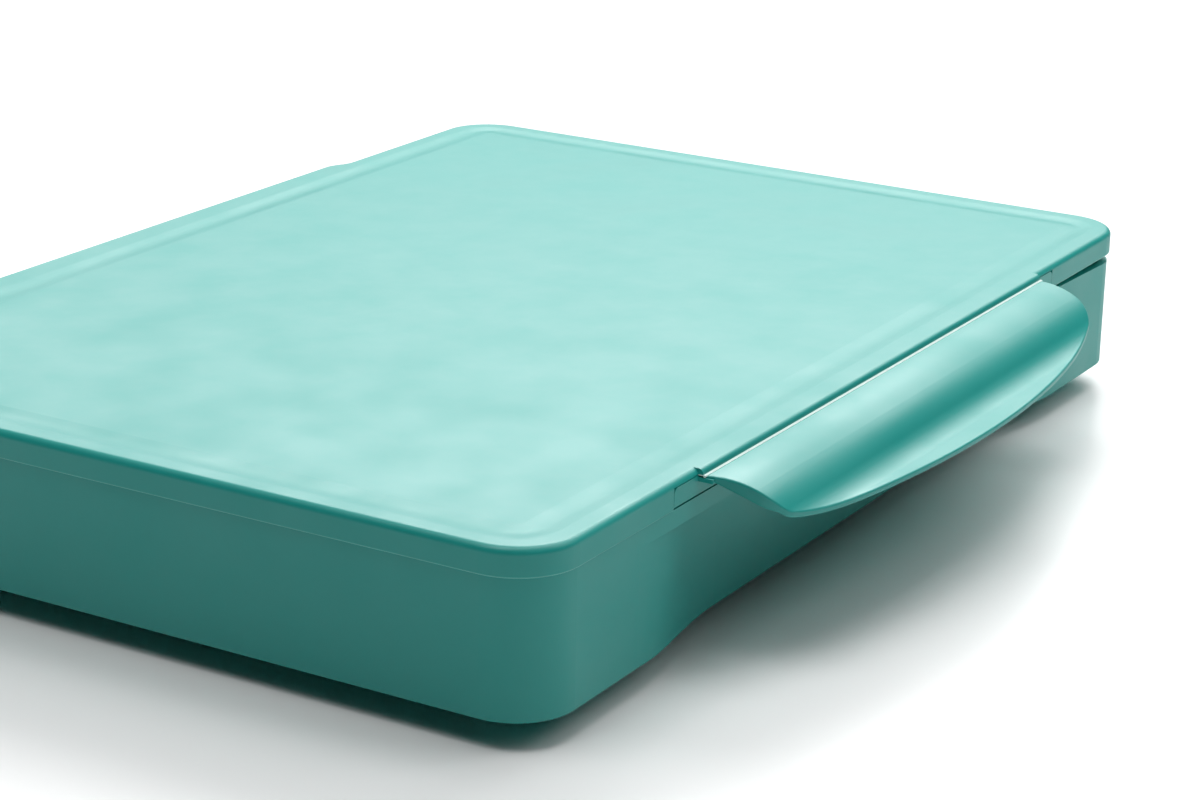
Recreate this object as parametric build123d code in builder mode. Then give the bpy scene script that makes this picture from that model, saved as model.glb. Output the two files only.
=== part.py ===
"""Gouache paint set box: hinged plastic case with a flip latch, a palette and 48 paint cups.

Millimetres. +Z is up and Z = 0 is the table. X runs along the latch side, the latch faces -Y.
The origin is the centre of the footprint, latch lip and hinge bulge included.
"""

import os
from math import radians, sqrt, tan

from build123d import *

# ---------------------------------------------------------------- driving dimensions
# case
case_l = 272.0  # outside length of the lid, along the latch side
case_w = 190.0  # outside width of the lid, latch lip and hinge bulge left out
case_h = 33.5  # height of the closed case without its feet
corner_r = 13.0  # outside corner radius of the lid in plan
lid_overhang = 0.46  # how far the lid stands out past the base, all round

# lid
skirt_h = 5.7  # height of the lid's skirt
skirt_t = 1.8  # skirt wall
lid_t = 2.0  # top panel
lid_top_round = 1.5
lid_lip_round = 0.3  # lower outside edge of the skirt
valley_inset = 8.2  # soft line pressed into the lid's top, from the outside edge
valley_half = 3.6
valley_depth = 0.25
eave_out = 0.9  # ledge of the lid over the latch's root
eave_t = 1.2
eave_round = 1.1  # upper front edge of that ledge

# base
seam = 0.1  # gap between skirt and base
base_t = 2.0  # walls and floor
base_edge_round = 0.5
tongue_inset = 2.8  # from the lid's outside to the raised tongue
tongue_t = 1.2
tongue_up = 2.65  # tongue above the base's rim
pry_drop = 2.3  # rim slopes down by this much to the right front corner, to get a nail in
pry_from = 62.0  # X where the slope starts, behind the latch
pry_back = 31.7  # how far the lower rim runs back along the right side
scoop_depth = 3.5  # finger scoop in the front wall
scoop_half = 65.0  # half of its full-depth length
scoop_run = 36.0  # length of each curved end
clear = 5.0  # how far a cutting sketch reaches past the solid it cuts
band_h = 3.75  # band of full-width wall left above the scoop

# feet
foot_d = 12.0
foot_h = 5.5  # the case stands this far clear of the table
foot_inset = 20.0

# lid hinge
barrel_r = 2.1
pin_r = 0.9
pin_play = 0.04
hinge_play = 0.3
hinge_drop = 4.3  # hinge axis below the lid's top
hinge_out = 0.06  # hinge axis behind the base's back wall
stop_play = 0.1  # between the base's back wall and the bulge, with the lid fully open
hinge_x = 45.0  # centre of each hinge
base_barrel_l = 14.0
lid_barrel_l = 10.0
pin_hole_over = 1.0  # the hole runs this far past the pin's ends
lid_open_angle = 110.0
bulge_out = 2.5  # lid's back edge over the hinges
bulge_half = 68.8
bulge_run = 8.4

# latch
latch_half = 80.0  # half length of the flap at its root
latch_taper = 3.6  # each side is drawn in by this much at the lip's curve
latch_out = 26.1  # lip from the lid's front
latch_r = 275.0  # plan radius of the lip
latch_corner_r = 7.0
latch_t = 1.3
latch_below_top = 1.3  # flap's upper face below the lid's top
latch_flat_end = 3.0  # where the flap starts to curve down
latch_bend_r = 20.0  # upper, convex bend, which starts gently
latch_bend_to = 23.5  # slope where the bend tightens
latch_turn_r = 11.0  # its tighter end
latch_steep = 54.0  # steepest slope of the flap
latch_dish_r = 6.3  # lower, concave bend
latch_lip_rise = 3.0  # the lip turns up by this angle
latch_fill_round = 2.0  # where the straight underside runs into the dish
latch_edge_round = 0.4
wing_l = 9.2  # plate beside the flap that fills the gap in the skirt
wing_t = 1.0
wing_corner_r = 1.3
wing_gap = 0.7  # plate above the base's rim
notch_play = 0.12
root_out = 3.0  # solid root under the film hinge, from the lid's front
root_t = 1.3  # root below the flap's upper face
hook_x = 45.0
hook_w = 16.0
hook_t = 1.5
hook_drop = 1.9  # hook below the band
hook_nib = 0.6
hook_nib_h = 1.5
hook_play = 0.26

# film hinge of the latch
film_r = 0.25
film_t = 0.2
film_sink = 0.05  # the bead's centre below the strip
film_out = 1.2  # its axis from the lid's front
film_play = 0.08
wing_play = 0.15  # wing below the lid's top panel

# seal
seal_w = 2.0
seal_sink = 0.4

# cups, paint and rack
columns = 8
rows = 6
cup_gap = 1.0  # between the flanges of neighbouring cups
cup_flange = 1.5  # flange past the cup's body
cup_flange_t = 0.8
cup_h = 19.0
cup_t = 0.8
cup_r = 3.0
cup_taper = 3.0
rack_t = 1.2
rack_play = 0.3
rack_hole_play = 0.4
rack_edge = 1.4  # from the rack's outside to the first cup's share of it
paint_below_rim = 3.5
paint_play = 0.08

# palette
palette_inset = 5.2
palette_h = 4.4
palette_play = 1.5  # palette above the cups
well_depth = 3.4
well_rim = 3.0
well_r = 3.0
well_taper = 20.0
small_wells = 8
small_well_w = 36.0
big_wells = 3
palette_round = 0.6

# ---------------------------------------------------------------- derived places
case_y = (latch_out - bulge_out) / 2  # centre line of the case
front = case_y - case_w / 2
back = case_y + case_w / 2
top = foot_h + case_h
floor = foot_h + base_t
skirt_z = top - skirt_h
rim_z = skirt_z - seam
tongue_z = rim_z + tongue_up
ceiling = top - lid_t
band_z = rim_z - band_h
ledge_z = band_z + base_t
base_front = front + lid_overhang
base_back = back - lid_overhang
rim_inset = tongue_inset + tongue_t  # inside of the rim, from the lid's outside
eave_z = top - eave_t

# lid hinge
axis_y = base_back + hinge_out
axis_z = top - hinge_drop
bulge_reach = back + bulge_out - axis_y
bulge_z = axis_z + bulge_reach * tan(radians(lid_open_angle - 90)) + stop_play
pocket_r = barrel_r + hinge_play
pin_reach = base_barrel_l / 2 + hinge_play + lid_barrel_l

# latch
latch_z = top - latch_below_top
latch_tip_half = latch_half - latch_taper
wing_half = latch_half + wing_l
film_y = front - film_out
film_z = eave_z - film_t - film_sink
plate_z = rim_z + wing_gap
plate_top = film_z - film_r - film_play
wing_top = eave_z - wing_play
root_y = film_y - film_r - film_play
root_z = latch_z - root_t
root_l = root_out + wing_t
root_mid = front + wing_t - root_l / 2
lip_y = front - latch_out
tip_y = lip_y + latch_r - sqrt(latch_r**2 - latch_tip_half**2)
hook_y = base_front - hook_play - hook_nib
hook_z = band_z - hook_drop

# rack and cups
rack_front = base_front + scoop_depth + base_t + rack_play
rack_back = back - rim_inset - rack_play / 2
rack_l = case_l - 2 * rim_inset - rack_play
rack_w = rack_back - rack_front
rack_y = (rack_front + rack_back) / 2
rack_top = ceiling - palette_h - palette_play - cup_flange_t
pitch_x = (rack_l - 2 * rack_edge) / columns
pitch_y = (rack_w - 2 * rack_edge) / rows
cup_l = pitch_x - cup_gap - 2 * cup_flange
cup_w = pitch_y - cup_gap - 2 * cup_flange
cup_rim = rack_top + cup_flange_t


def level(z):
    """Horizontal plane at height z, centred on the case."""
    return Plane((0, case_y, z))


def case_plan(inset):
    """Plan of the case, this far inside the lid's outside."""
    RectangleRounded(case_l - 2 * inset, case_w - 2 * inset, corner_r - inset)


def save(builder, name):
    """Label a finished piece and write it."""
    builder.part.label = name
    export_step(builder.part, f"parts/{name}.step")


os.makedirs("parts", exist_ok=True)

# ---------------------------------------------------------------- base shell
with BuildPart() as base_shell:
    with BuildSketch(level(foot_h)):
        case_plan(lid_overhang)
    extrude(amount=rim_z - foot_h)
    fillet(base_shell.edges().group_by(Axis.Z)[0], base_edge_round)

    # raised tongue that the lid's seal sits on
    with BuildSketch(level(rim_z)):
        case_plan(tongue_inset)
    extrude(amount=tongue_up)

    # rim that slopes down to the right front corner
    with BuildPart(mode=Mode.PRIVATE) as pry:
        with BuildSketch(level(rim_z)):
            case_plan(0)
            RectangleRounded(
                case_l - 2 * tongue_inset,
                case_w - 2 * tongue_inset,
                corner_r - tongue_inset,
                mode=Mode.SUBTRACT,
            )
            with Locations(((pry_from + case_l / 2) / 2, -case_w / 2)):
                Rectangle(case_l / 2 - pry_from, 2 * pry_back, mode=Mode.INTERSECT)
        extrude(amount=-pry_drop)
        with BuildSketch(Plane.XZ):
            with BuildLine():
                Polyline(
                    (pry_from, rim_z),
                    (case_l / 2, rim_z),
                    (case_l / 2, rim_z - pry_drop),
                    close=True,
                )
            make_face()
        extrude(amount=case_w, both=True, mode=Mode.INTERSECT)
    add(pry.part, mode=Mode.SUBTRACT)

    # finger scoop: full depth in the middle, S-curved at both ends
    with BuildSketch(Plane.XY):
        with BuildLine():
            outer = scoop_half + scoop_run
            deep = base_front + scoop_depth
            Line((-outer, base_front), (-outer, base_front - clear))
            Line((-outer, base_front - clear), (outer, base_front - clear))
            Line((outer, base_front - clear), (outer, base_front))
            Spline((outer, base_front), (scoop_half, deep), tangents=((-1, 0), (-1, 0)))
            Line((scoop_half, deep), (-scoop_half, deep))
            Spline((-scoop_half, deep), (-outer, base_front), tangents=((-1, 0), (-1, 0)))
        make_face()
    extrude(amount=band_z, mode=Mode.SUBTRACT)

    # hollow inside, stepped in at the scoop and under the rim
    with BuildSketch(level(floor)):
        case_plan(lid_overhang + base_t)
        with Locations((0, base_front - case_y)):
            Rectangle(2 * outer, 2 * (scoop_depth + base_t), mode=Mode.SUBTRACT)
    extrude(amount=ledge_z - floor, mode=Mode.SUBTRACT)
    with BuildSketch(level(ledge_z)):
        case_plan(rim_inset)
    extrude(amount=tongue_z - ledge_z, mode=Mode.SUBTRACT)

    # hinge barrels on the back wall, and room for the lid's barrels
    for x in (-hinge_x, hinge_x):
        with BuildSketch(Plane.YZ.offset(x)):
            with Locations((axis_y, axis_z)):
                Circle(barrel_r)
            with Locations((base_back - base_t / 2, (rim_z - base_t + axis_z) / 2)):
                Rectangle(base_t, axis_z - rim_z + base_t)
        extrude(amount=base_barrel_l / 2, both=True)
        for side in (-1, 1):
            offset_x = x + side * (base_barrel_l / 2 + hinge_play + lid_barrel_l / 2)
            with BuildSketch(Plane.YZ.offset(offset_x)):
                with Locations((axis_y, axis_z)):
                    Circle(pocket_r)
            extrude(amount=lid_barrel_l / 2 + hinge_play, both=True, mode=Mode.SUBTRACT)
        with BuildSketch(Plane.YZ.offset(x)):
            with Locations((axis_y, axis_z)):
                Circle(pin_r + pin_play)
        extrude(amount=base_barrel_l, both=True, mode=Mode.SUBTRACT)
save(base_shell, "base_shell")

# ---------------------------------------------------------------- feet
with BuildPart() as feet:
    with BuildSketch(level(0)):
        with GridLocations(case_l - 2 * foot_inset, case_w - 2 * foot_inset, 2, 2):
            Circle(foot_d / 2)
    extrude(amount=foot_h)
save(feet, "feet")

# ---------------------------------------------------------------- lid shell
with BuildPart() as lid_shell:
    with BuildSketch(level(skirt_z)):
        case_plan(0)
        with BuildLine():
            wide = bulge_half + bulge_run
            edge = case_w / 2
            Line((wide, edge), (wide, edge - clear))
            Line((wide, edge - clear), (-wide, edge - clear))
            Line((-wide, edge - clear), (-wide, edge))
            Spline((-wide, edge), (-bulge_half, edge + bulge_out), tangents=((1, 0), (1, 0)))
            Line((-bulge_half, edge + bulge_out), (bulge_half, edge + bulge_out))
            Spline((bulge_half, edge + bulge_out), (wide, edge), tangents=((1, 0), (1, 0)))
        make_face()
    extrude(amount=skirt_h)
    fillet(lid_shell.edges().group_by(Axis.Z)[-1], lid_top_round)

    # ledge over the latch's root
    with BuildSketch(Plane.YZ):
        with BuildLine():
            nose = front - eave_out
            inner = front + lid_top_round
            Polyline(
                (nose + eave_round, top),
                (inner, top),
                (inner, eave_z),
                (nose, eave_z),
                (nose, top - eave_round),
            )
            JernArc((nose, top - eave_round), (0, 1), eave_round, -90)
        make_face()
    extrude(amount=latch_half, both=True)

    # the bulge ends above the hinge barrels, and its lower edge stops the open lid
    with BuildSketch(Plane.XY.offset(skirt_z)):
        with Locations((0, back + bulge_out)):
            Rectangle(case_l, 2 * bulge_out)
    extrude(amount=bulge_z - skirt_z, mode=Mode.SUBTRACT)
    fillet(lid_shell.edges().group_by(Axis.Z)[0], lid_lip_round)

    # soft line pressed into the top
    with BuildSketch(level(top), mode=Mode.PRIVATE) as valley_plan:
        case_plan(valley_inset)
    valley_wire = valley_plan.sketch.face().outer_wire()
    start = valley_wire.position_at(0)
    with BuildSketch(Plane(start, x_dir=(0, 0, 1), z_dir=valley_wire.tangent_at(0))) as valley_cut:
        with BuildLine():
            Spline(
                (0, -valley_half),
                (-valley_depth, 0),
                (0, valley_half),
                tangents=((0, 1), (0, 1)),
            )
            Line((0, valley_half), (0, -valley_half))
        make_face()
    sweep(valley_cut.sketch, path=valley_wire, mode=Mode.SUBTRACT)

    # hollow inside, groove for the seal
    with BuildSketch(level(skirt_z)):
        case_plan(skirt_t)
    extrude(amount=ceiling - skirt_z, mode=Mode.SUBTRACT)
    seal_mid = tongue_inset + tongue_t / 2
    with BuildSketch(level(ceiling)):
        case_plan(seal_mid - seal_w / 2)
        RectangleRounded(
            case_l - 2 * seal_mid - seal_w,
            case_w - 2 * seal_mid - seal_w,
            corner_r - seal_mid - seal_w / 2,
            mode=Mode.SUBTRACT,
        )
    extrude(amount=seal_sink, mode=Mode.SUBTRACT)

    # gap in the skirt for the latch
    with BuildSketch(Plane.XY.offset(skirt_z)):
        with Locations((0, front)):
            Rectangle(2 * (wing_half + notch_play), 2 * skirt_t)
    extrude(amount=eave_z - skirt_z, mode=Mode.SUBTRACT)

    # hinge barrels, room for the base's barrels, pin holes
    for x in (-hinge_x, hinge_x):
        for side in (-1, 1):
            offset_x = x + side * (base_barrel_l / 2 + hinge_play + lid_barrel_l / 2)
            with BuildSketch(Plane.YZ.offset(offset_x)):
                with Locations((axis_y, axis_z)):
                    Circle(barrel_r)
            extrude(amount=lid_barrel_l / 2, both=True)
        with BuildSketch(Plane.YZ.offset(x)):
            with Locations((axis_y, axis_z)):
                Circle(pocket_r)
            with Locations((axis_y, axis_z - skirt_h / 2)):
                Rectangle(2 * pocket_r, skirt_h)
        extrude(amount=base_barrel_l / 2 + hinge_play, both=True, mode=Mode.SUBTRACT)
        with BuildSketch(Plane.YZ.offset(x)):
            with Locations((axis_y, axis_z)):
                Circle(pin_r + pin_play)
        extrude(amount=pin_reach + pin_hole_over, both=True, mode=Mode.SUBTRACT)
save(lid_shell, "lid_shell")

# ---------------------------------------------------------------- hinge pins
for x, name in ((-hinge_x, "hinge_pin_left"), (hinge_x, "hinge_pin_right")):
    with BuildPart() as hinge_pin:
        with BuildSketch(Plane.YZ.offset(x)):
            with Locations((axis_y, axis_z)):
                Circle(pin_r)
        extrude(amount=pin_reach, both=True)
    save(hinge_pin, name)

# ---------------------------------------------------------------- seal under the lid
with BuildPart() as lid_seal:
    with BuildSketch(level(tongue_z)):
        case_plan(seal_mid - seal_w / 2)
        RectangleRounded(
            case_l - 2 * seal_mid - seal_w,
            case_w - 2 * seal_mid - seal_w,
            corner_r - seal_mid - seal_w / 2,
            mode=Mode.SUBTRACT,
        )
    extrude(amount=ceiling + seal_sink - tongue_z)
save(lid_seal, "lid_seal")

# ---------------------------------------------------------------- film hinge of the latch
with BuildPart() as film_hinge:
    with BuildSketch(Plane.YZ):
        with Locations((film_y, film_z)):
            Circle(film_r)
        with Locations(((film_y + front + skirt_t) / 2, eave_z - film_t / 2)):
            Rectangle(front + skirt_t - film_y, film_t)
    extrude(amount=latch_half, both=True)
save(film_hinge, "film_hinge")

# ---------------------------------------------------------------- latch flap
with BuildPart() as latch_flap:
    # S-shaped section of the flap: flat at the root, dished at the lip
    with BuildSketch(Plane.YZ) as section:
        with BuildLine():
            with BuildLine(mode=Mode.PRIVATE) as upper:
                flat = Line((root_y, latch_z), (front - latch_flat_end, latch_z))
                bend = JernArc(flat @ 1, (-1, 0), latch_bend_r, latch_bend_to)
                turn = JernArc(bend @ 1, bend % 1, latch_turn_r, latch_steep - latch_bend_to)
                dish = JernArc(turn @ 1, turn % 1, latch_dish_r, -latch_steep - latch_lip_rise)
                Line(dish @ 1, dish @ 1 + (dish % 1) * latch_out)
            offset(upper.line, amount=latch_t, side=Side.LEFT)
        make_face()
        # the bend is filled out to a straight underside
        with BuildLine():
            add(flat)
            add(bend)
            add(turn)
            heel = turn @ 1 + (turn % 1).rotate(Axis.Z, 90) * latch_t
            Polyline(turn @ 1, heel, (front - root_out, root_z), (root_y, root_z), flat @ 0)
        make_face()
        fillet(section.vertices().sort_by_distance(heel)[0], latch_fill_round)
    extrude(amount=latch_half, both=True)

    # crescent plan: sides drawn in towards a long curved lip
    with BuildSketch(Plane.XY) as crescent:
        with BuildLine():
            Polyline(
                (-latch_tip_half, tip_y),
                (-latch_half, front),
                (-latch_half, back),
                (latch_half, back),
                (latch_half, front),
                (latch_tip_half, tip_y),
            )
            ThreePointArc((latch_tip_half, tip_y), (0, lip_y), (-latch_tip_half, tip_y))
        make_face()
        fillet(crescent.vertices().group_by(Axis.Y)[0], latch_corner_r)
    extrude(amount=top, mode=Mode.INTERSECT)
    rim_faces = latch_flap.faces().filter_by(lambda face: abs(face.normal_at().Z) < 0.01)
    rim_faces = rim_faces.filter_by(lambda face: face.center().Y < root_y - latch_t / 4)
    fillet(rim_faces.edges().filter_by(Axis.Z, reverse=True), latch_edge_round)

    # root under the film hinge
    with BuildSketch(Plane.YZ):
        with Locations((root_mid, (plate_top + root_z) / 2)):
            Rectangle(root_l, plate_top - root_z)
    extrude(amount=latch_half, both=True)

    # upright plate that fills the gap in the lid's skirt, raised at both ends
    wing_in = latch_half + notch_play
    with BuildSketch(Plane((0, front, 0), x_dir=(1, 0, 0), z_dir=(0, -1, 0))) as plate:
        with BuildLine():
            Polyline(
                (-wing_half, plate_z),
                (wing_half, plate_z),
                (wing_half, wing_top),
                (wing_in, wing_top),
                (wing_in, plate_top),
                (-wing_in, plate_top),
                (-wing_in, wing_top),
                (-wing_half, wing_top),
                close=True,
            )
        make_face()
        corners = plate.vertices().group_by(Axis.Y)[-1]
        fillet([corners.sort_by(Axis.X)[0], corners.sort_by(Axis.X)[-1]], wing_corner_r)
    extrude(amount=-wing_t)

    # two hooks that reach down past the base's band
    for x in (-hook_x, hook_x):
        with BuildSketch(Plane.YZ.offset(x)):
            with BuildLine():
                Polyline(
                    (hook_y, plate_top),
                    (hook_y, hook_z + hook_nib_h + hook_nib),
                    (hook_y + hook_nib, hook_z + hook_nib_h),
                    (hook_y + hook_nib, hook_z),
                    (hook_y - hook_t, hook_z),
                    (hook_y - hook_t, plate_top),
                    close=True,
                )
            make_face()
        extrude(amount=hook_w / 2, both=True)
save(latch_flap, "latch_flap")

# ---------------------------------------------------------------- palette under the lid
with BuildPart() as palette:
    palette_l = case_l - 2 * palette_inset
    palette_w = case_w - 2 * palette_inset
    with BuildSketch(level(ceiling)):
        case_plan(palette_inset)
    extrude(amount=-palette_h)
    fillet(palette.edges().group_by(Axis.Z)[0], palette_round)

    # two rows of small wells and a row of wide ones between them
    small_l = (palette_l - (small_wells + 1) * well_rim) / small_wells
    big_l = (palette_l - (big_wells + 1) * well_rim) / big_wells
    big_w = palette_w - 2 * small_well_w - 4 * well_rim
    with BuildSketch(level(ceiling - palette_h)):
        with GridLocations(small_l + well_rim, big_w + small_well_w + 2 * well_rim, small_wells, 2):
            RectangleRounded(small_l, small_well_w, well_r)
        with GridLocations(big_l + well_rim, 0, big_wells, 1):
            RectangleRounded(big_l, big_w, well_r)
    extrude(amount=well_depth, taper=well_taper, mode=Mode.SUBTRACT)
save(palette, "palette")

# ---------------------------------------------------------------- rack that carries the cups
with BuildPart() as cup_rack:
    rack_r = corner_r - rim_inset
    with BuildSketch(Plane((0, rack_y, floor))):
        RectangleRounded(rack_l, rack_w, rack_r)
    extrude(amount=rack_top - floor)
    with BuildSketch(Plane((0, rack_y, floor))):
        RectangleRounded(rack_l - 2 * rack_t, rack_w - 2 * rack_t, rack_r - rack_t)
        with GridLocations(0, pitch_y, 1, rows - 1):
            Rectangle(rack_l, rack_t, mode=Mode.SUBTRACT)
    extrude(amount=rack_top - rack_t - floor, mode=Mode.SUBTRACT)
    with BuildSketch(Plane((0, rack_y, rack_top))):
        with GridLocations(pitch_x, pitch_y, columns, rows):
            RectangleRounded(cup_l + 2 * rack_hole_play, cup_w + 2 * rack_hole_play, cup_r)
    extrude(amount=-rack_t, mode=Mode.SUBTRACT)
save(cup_rack, "cup_rack")

# ---------------------------------------------------------------- cups and their paint, row by row
with BuildPart() as cup:
    with BuildSketch(Plane.XY.offset(cup_rim)):
        RectangleRounded(cup_l, cup_w, cup_r)
    extrude(amount=-cup_h, taper=cup_taper)
    with BuildSketch(Plane.XY.offset(cup_rim)):
        RectangleRounded(cup_l + 2 * cup_flange, cup_w + 2 * cup_flange, cup_r + cup_flange)
    extrude(amount=-cup_flange_t)
    with BuildSketch(Plane.XY.offset(cup_rim)):
        RectangleRounded(cup_l - 2 * cup_t, cup_w - 2 * cup_t, cup_r - cup_t)
    extrude(amount=cup_t - cup_h, taper=cup_taper, mode=Mode.SUBTRACT)

with BuildPart() as paint:
    narrower = cup_t + paint_below_rim * tan(radians(cup_taper)) + paint_play
    with BuildSketch(Plane.XY.offset(cup_rim - paint_below_rim)):
        RectangleRounded(cup_l - 2 * narrower, cup_w - 2 * narrower, cup_r - cup_t)
    extrude(amount=paint_below_rim + cup_t - cup_h, taper=cup_taper)

for row in range(rows):
    row_y = rack_y + (row - (rows - 1) / 2) * pitch_y
    places = [((column - (columns - 1) / 2) * pitch_x, row_y) for column in range(columns)]
    with BuildPart() as cup_row:
        with Locations(*places):
            add(cup.part)
    save(cup_row, f"cups_row_{row + 1}")
    with BuildPart() as paint_row:
        with Locations(*places):
            add(paint.part)
    save(paint_row, f"paint_row_{row + 1}")
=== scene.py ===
"""Gouache paint set box: finishes, floor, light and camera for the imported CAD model."""

from colorsys import hsv_to_rgb
from math import cos, radians, sin

import bpy
from mathutils import Matrix, Vector

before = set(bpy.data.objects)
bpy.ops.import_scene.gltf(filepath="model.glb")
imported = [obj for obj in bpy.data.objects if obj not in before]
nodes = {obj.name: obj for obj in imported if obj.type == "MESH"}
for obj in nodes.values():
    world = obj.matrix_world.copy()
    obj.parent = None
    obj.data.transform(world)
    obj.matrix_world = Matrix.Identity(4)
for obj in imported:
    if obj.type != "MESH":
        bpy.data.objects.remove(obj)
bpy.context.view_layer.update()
MM = 0.001
MICRON = MM / 1000

# ---------------------------------------------------------------- camera
CAMERA_PLACE = (-0.5549, -0.3397, 0.2306)  # metres
CAMERA_YAW = 59.632  # degrees from +Y towards +X
CAMERA_PITCH = 18.317  # below the horizon
CAMERA_ROLL = 1.1975  # degrees, its right side up
CAMERA_LENS = 91.93  # mm
CAMERA_SENSOR = 36.0  # mm wide


def make_camera():
    """The photograph's viewpoint."""
    yaw, pitch, roll = radians(CAMERA_YAW), radians(CAMERA_PITCH), radians(CAMERA_ROLL)
    ahead = Vector((cos(pitch) * sin(yaw), cos(pitch) * cos(yaw), -sin(pitch)))
    level_right = Vector((cos(yaw), -sin(yaw), 0))
    level_up = level_right.cross(ahead)
    right = level_right * cos(roll) + level_up * sin(roll)
    up = level_up * cos(roll) - level_right * sin(roll)
    data = bpy.data.cameras.new("camera")
    data.sensor_width = CAMERA_SENSOR
    data.lens = CAMERA_LENS
    data.clip_start = 0.01
    camera = bpy.data.objects.new("camera", data)
    bpy.context.scene.collection.objects.link(camera)
    turn = Matrix((right, up, -ahead)).transposed()
    camera.matrix_world = Matrix.Translation(Vector(CAMERA_PLACE)) @ turn.to_4x4()
    bpy.context.scene.camera = camera


# ---------------------------------------------------------------- material helpers
class Nodes:
    """A new material's node tree, with short ways to add and link nodes."""

    def __init__(self, name):
        self.material = bpy.data.materials.new(name)
        self.material.use_nodes = True
        self.tree = self.material.node_tree
        self.shader = self.tree.nodes["Principled BSDF"]
        self.place = self.add("ShaderNodeTexCoord").outputs["Object"]

    def add(self, kind, **settings):
        new = self.tree.nodes.new(kind)
        for key, value in settings.items():
            setattr(new, key, value)
        return new

    def link(self, source, target):
        self.tree.links.new(source, target)

    def noise(self, scale, detail=3.0):
        """Noise of this many cells a metre."""
        new = self.add("ShaderNodeTexNoise")
        new.inputs["Scale"].default_value = scale
        new.inputs["Detail"].default_value = detail
        self.link(self.place, new.inputs["Vector"])
        return new.outputs["Fac"]

    def stretch(self, source, low, high, least, most):
        """source from least..most, stretched to low..high."""
        new = self.add("ShaderNodeMapRange")
        new.inputs["From Min"].default_value = least
        new.inputs["From Max"].default_value = most
        new.inputs["To Min"].default_value = low
        new.inputs["To Max"].default_value = high
        self.link(source, new.inputs["Value"])
        return new.outputs["Result"]

    def blend(self, factor, first, second):
        """Colour between first and second, each a colour or a socket."""
        new = self.add("ShaderNodeMix", data_type="RGBA")
        self.link(factor, new.inputs["Factor"])
        for key, value in (("A", first), ("B", second)):
            socket = next(s for s in new.inputs if s.name == key and s.type == "RGBA")
            if isinstance(value, bpy.types.NodeSocket):
                self.link(value, socket)
            else:
                socket.default_value = (*value, 1)
        return next(s for s in new.outputs if s.type == "RGBA")

    def axis(self, letter):
        """One coordinate of the object, in metres."""
        new = self.add("ShaderNodeSeparateXYZ")
        self.link(self.place, new.inputs["Vector"])
        return new.outputs[letter]

    def near(self, source, value, reach):
        """1 where source is value, falling to 0 at this distance from it."""
        away = self.add("ShaderNodeMath", operation="SUBTRACT")
        self.link(source, away.inputs[0])
        away.inputs[1].default_value = value
        size = self.add("ShaderNodeMath", operation="ABSOLUTE")
        self.link(away.outputs[0], size.inputs[0])
        return self.stretch(size.outputs[0], 1, 0, 0, reach)

    def bump(self, *layers):
        """Bump from layers of (socket, depth in metres), one on top of the other."""
        below = None
        for source, depth in layers:
            new = self.add("ShaderNodeBump")
            new.inputs["Strength"].default_value = 1.0
            new.inputs["Distance"].default_value = depth
            self.link(source, new.inputs["Height"])
            if below is not None:
                self.link(below, new.inputs["Normal"])
            below = new.outputs["Normal"]
        self.link(below, self.shader.inputs["Normal"])

    def set(self, **values):
        """Constants on the shader's own sockets."""
        for key, value in values.items():
            self.shader.inputs[key.replace("_", " ")].default_value = value


def tint(colour, factor):
    """colour made lighter or darker."""
    return tuple(min(1.0, channel * factor) for channel in colour)


CLOUD_CELLS = 26  # a metre, slow change of colour
GLOSS_CELLS = 60  # a metre, slow change of gloss
GLOSS_SPREAD = 0.05  # of the roughness, either way
WAVE_CELLS = 30  # a metre, slight unevenness of the surface
WAVE_DEPTH = 1 * MICRON
MID_NOISE = (0.3, 0.7)  # most of a noise's values lie between these


def moulded(name, colour, rough, grain=4 * MICRON, cells=5200, mottle=0.02, line=None, **values):
    """Moulded plastic: slight cloudiness, fine eroded grain, uneven gloss, and an optional painted
    highlight.

    The line is (height, reach, colour): a pale painted highlight along an edge at that height.
    """
    m = Nodes(name)
    shade = m.blend(m.noise(CLOUD_CELLS), tint(colour, 1 - mottle), tint(colour, 1 + mottle))
    if line:
        height, reach, pale = line
        # painted highlight: pale colour along the edge at this height
        shade = m.blend(m.near(m.axis("Z"), height, reach), shade, pale)
    m.link(shade, m.shader.inputs["Base Color"])
    gloss = m.stretch(m.noise(GLOSS_CELLS), rough - GLOSS_SPREAD, rough + GLOSS_SPREAD, *MID_NOISE)
    m.link(gloss, m.shader.inputs["Roughness"])
    m.bump((m.noise(cells, 2), grain), (m.noise(WAVE_CELLS, 1), WAVE_DEPTH))
    m.set(**values)
    return m.material


# ---------------------------------------------------------------- finishes
MINT = (0.010, 0.320, 0.285)
MINT_PAINTED_HIGHLIGHT = (0.16, 0.56, 0.51)  # painted highlight along the rounded lower edge of the lid's skirt
MINT_ROUGH = 0.42
# pale: plastic whitened where the film hinge bends, and paler still as a painted highlight along the
# bend
FILM = (0.72, 0.88, 0.84)
FOOT = (0.020, 0.045, 0.043)
SEAL = (0.72, 0.76, 0.74)
SKIRT_Z = 33.3 * MM  # lower edge of the lid's skirt
PAINTED_HIGHLIGHT_REACH = 0.35 * MM  # from the skirt's lower edge to where its painted highlight ends


def finish(name, material):
    """The CAD node gets this material all over."""
    for slot in nodes[name].material_slots:
        slot.material = material


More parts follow.
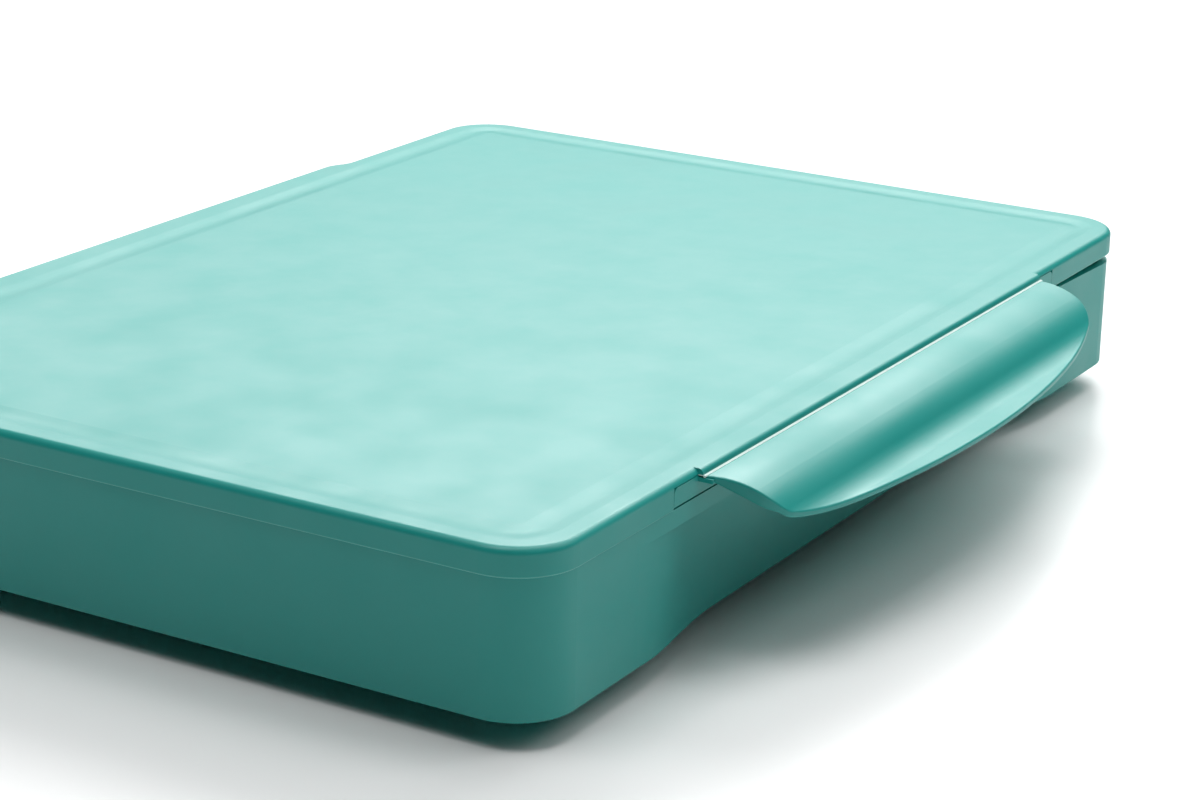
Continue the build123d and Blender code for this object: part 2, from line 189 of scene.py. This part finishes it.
def paint_case():
    """Same mint plastic for base, lid and latch, the lid's with a painted highlight along its skirt's
    lower edge.
    """
    mint = moulded("mint_plastic", MINT, MINT_ROUGH)
    # the lid's plastic carries a painted highlight along the skirt's lower edge
    lid = moulded("lid_plastic_painted_highlight", MINT, MINT_ROUGH, line=(SKIRT_Z, PAINTED_HIGHLIGHT_REACH, MINT_PAINTED_HIGHLIGHT))
    finish("base_shell", mint)
    finish("latch_flap", mint)
    finish("lid_shell", lid)
    # the hinge film's pale colour is partly a painted highlight
    finish("film_hinge", moulded("film_plastic", FILM, 0.5))
    finish("feet", moulded("foot_rubber", FOOT, 0.75, 8 * MICRON, 2600, 0.10))
    finish("lid_seal", moulded("seal_rubber", SEAL, 0.55, 3 * MICRON, 3000, 0.03))


STEEL_DARK = (0.54, 0.55, 0.57)
STEEL_LIGHT = (0.66, 0.67, 0.69)
SCRATCH_CELLS = (40, 9000, 9000)  # a metre along X, Y and Z


def paint_pins():
    """Drawn steel wire, its scratches along X."""
    m = Nodes("pin_steel")
    along = m.add("ShaderNodeMapping")
    along.inputs["Scale"].default_value = SCRATCH_CELLS
    m.link(m.place, along.inputs["Vector"])
    drawn = m.add("ShaderNodeTexNoise")
    drawn.inputs["Scale"].default_value = 1.0
    m.link(along.outputs["Vector"], drawn.inputs["Vector"])
    scratch = drawn.outputs["Fac"]
    m.link(m.blend(scratch, STEEL_DARK, STEEL_LIGHT), m.shader.inputs["Base Color"])
    m.link(m.stretch(scratch, 0.24, 0.38, *MID_NOISE), m.shader.inputs["Roughness"])
    m.bump((scratch, 3 * MICRON))
    m.set(Metallic=1.0)
    finish("hinge_pin_left", m.material)
    finish("hinge_pin_right", m.material)


PALETTE = (0.84, 0.84, 0.82)
RACK = (0.76, 0.78, 0.77)
CUP = (0.80, 0.83, 0.83)
CUP_SUBSURFACE = 0.15
ROWS = 6
COLUMNS = 8
COLUMN_PITCH = 32.6125 * MM
# hue, saturation and value of each row's leftmost and rightmost colour
PAINTS = {
    1: ((0.13, 0.03, 0.92), (0.06, 0.48, 0.66)),  # white to skin tints
    2: ((0.17, 0.78, 0.88), (0.07, 0.93, 0.80)),  # lemon to orange
    3: ((0.03, 0.90, 0.74), (-0.08, 0.62, 0.62)),  # vermilion to rose
    4: ((0.86, 0.60, 0.46), (0.72, 0.66, 0.26)),  # magenta to violet
    5: ((0.66, 0.88, 0.26), (0.51, 0.62, 0.62)),  # ultramarine to turquoise
    6: ((0.42, 0.74, 0.34), (0.08, 0.70, 0.07)),  # emerald to burnt umber
}
SWIRL_CELLS = 140  # a metre, the strokes left by the brush
SWIRL_PALE = 0.12  # share of white where a swirl is palest
SWIRL_DEPTH = 0.25 * MM
PASTE_CELLS = 2400  # a metre, the paste's own grain
PASTE_DEPTH = 6 * MICRON
NEW_RAMP_STOPS = 2  # a new colour ramp comes with these


def paint_inside():
    """White palette, rack and cups."""
    finish("palette", moulded("palette_plastic", PALETTE, 0.20, 1 * MICRON, 1800, 0.01))
    finish("cup_rack", moulded("rack_plastic", RACK, 0.38, 3 * MICRON, 4200, 0.02))
    cup = moulded("cup_plastic", CUP, 0.24, 1 * MICRON, 2200, 0.02, Subsurface_Weight=CUP_SUBSURFACE)
    for row in range(1, ROWS + 1):
        finish(f"cups_row_{row}", cup)


def colour_steps(m, ends):
    """One even colour a column, from the first of the two ends to the second."""
    ramp = m.add("ShaderNodeValToRGB")
    ramp.color_ramp.interpolation = "CONSTANT"
    stops = ramp.color_ramp.elements
    for column in range(COLUMNS):
        share = column / (COLUMNS - 1)
        hue, strength, value = (a + (b - a) * share for a, b in zip(*ends))
        if column < NEW_RAMP_STOPS:
            stop = stops[column]
            stop.position = column / COLUMNS
        else:
            stop = stops.new(column / COLUMNS)
        stop.color = (*hsv_to_rgb(hue % 1, strength, value), 1)
    half = COLUMNS * COLUMN_PITCH / 2
    m.link(m.stretch(m.axis("X"), 0, 1, -half, half), ramp.inputs["Fac"])
    return ramp.outputs["Color"]


def paint_cups():
    """Creamy gouache, one colour a cup, told apart by the column."""
    for row, ends in PAINTS.items():
        m = Nodes(f"gouache_{row}")
        swirl = m.noise(SWIRL_CELLS, 4)
        pale = m.stretch(swirl, 0, SWIRL_PALE, 0.35, 0.65)
        m.link(m.blend(pale, colour_steps(m, ends), (1, 1, 1)), m.shader.inputs["Base Color"])
        m.link(m.stretch(swirl, 0.34, 0.50, *MID_NOISE), m.shader.inputs["Roughness"])
        m.bump((swirl, SWIRL_DEPTH), (m.noise(PASTE_CELLS, 2), PASTE_DEPTH))
        finish(f"paint_row_{row}", m.material)


# ---------------------------------------------------------------- floor and light
FLOOR_SIZE = 6  # metres
FLOOR_DARK = (0.93, 0.93, 0.93)
FLOOR_LIGHT = (0.95, 0.95, 0.95)


def make_floor():
    """Plain white table."""
    bpy.ops.mesh.primitive_plane_add(size=FLOOR_SIZE)
    floor = bpy.context.object
    floor.name = "floor"
    m = Nodes("floor")
    m.link(m.blend(m.noise(8), FLOOR_DARK, FLOOR_LIGHT), m.shader.inputs["Base Color"])
    m.link(m.stretch(m.noise(20), 0.30, 0.36, *MID_NOISE), m.shader.inputs["Roughness"])
    floor.data.materials.append(m.material)


# name: azimuth from +X towards +Y and elevation in degrees, width and height in metres, watts
SOFTBOXES = {
    "window_right": (0, 38, 0.7, 0.6, 4.9),
    "window_back": (30, 38, 0.7, 0.6, 8.6),
    "low_right": (15, 27, 0.7, 0.5, 2.1),
    "low_back": (45, 27, 0.7, 0.5, 2.1),
    "far_back": (60, 17, 0.7, 0.5, 1.9),
    "overhead": (0, 90, 0.9, 0.9, 5.0),
    "overhead_back": (150, 70, 0.7, 0.6, 5.2),
    "overhead_front": (330, 70, 0.7, 0.6, 4.3),
    "left_fill": (240, 45, 0.8, 0.7, 0.9),
    "front_fill": (300, 45, 0.8, 0.7, 3.8),
}
SOFTBOX_REACH = 1.4  # metres from the middle of the box
ROOM_LIGHT = 0.005  # strength of the light from all round


def make_light():
    """Soft light from the right, behind and above, with a weaker fill from the front and the left."""
    for name, (azimuth, elevation, width, height, watts) in SOFTBOXES.items():
        data = bpy.data.lights.new(name, "AREA")
        data.shape = "RECTANGLE"
        data.size, data.size_y = width, height
        data.energy = watts
        light = bpy.data.objects.new(name, data)
        bpy.context.scene.collection.objects.link(light)
        a, e = radians(azimuth), radians(elevation)
        towards = Vector((cos(e) * cos(a), cos(e) * sin(a), sin(e)))
        light.location = towards * SOFTBOX_REACH
        light.rotation_euler = towards.to_track_quat("Z", "Y").to_euler()
    world = bpy.data.worlds.new("room")
    world.use_nodes = True
    sky = world.node_tree.nodes["Background"]
    sky.inputs["Color"].default_value = (1, 1, 1, 1)
    sky.inputs["Strength"].default_value = ROOM_LIGHT
    bpy.context.scene.world = world


bpy.context.scene.view_settings.view_transform = "Standard"
make_camera()
paint_case()
paint_pins()
paint_inside()
paint_cups()
make_floor()
make_light()
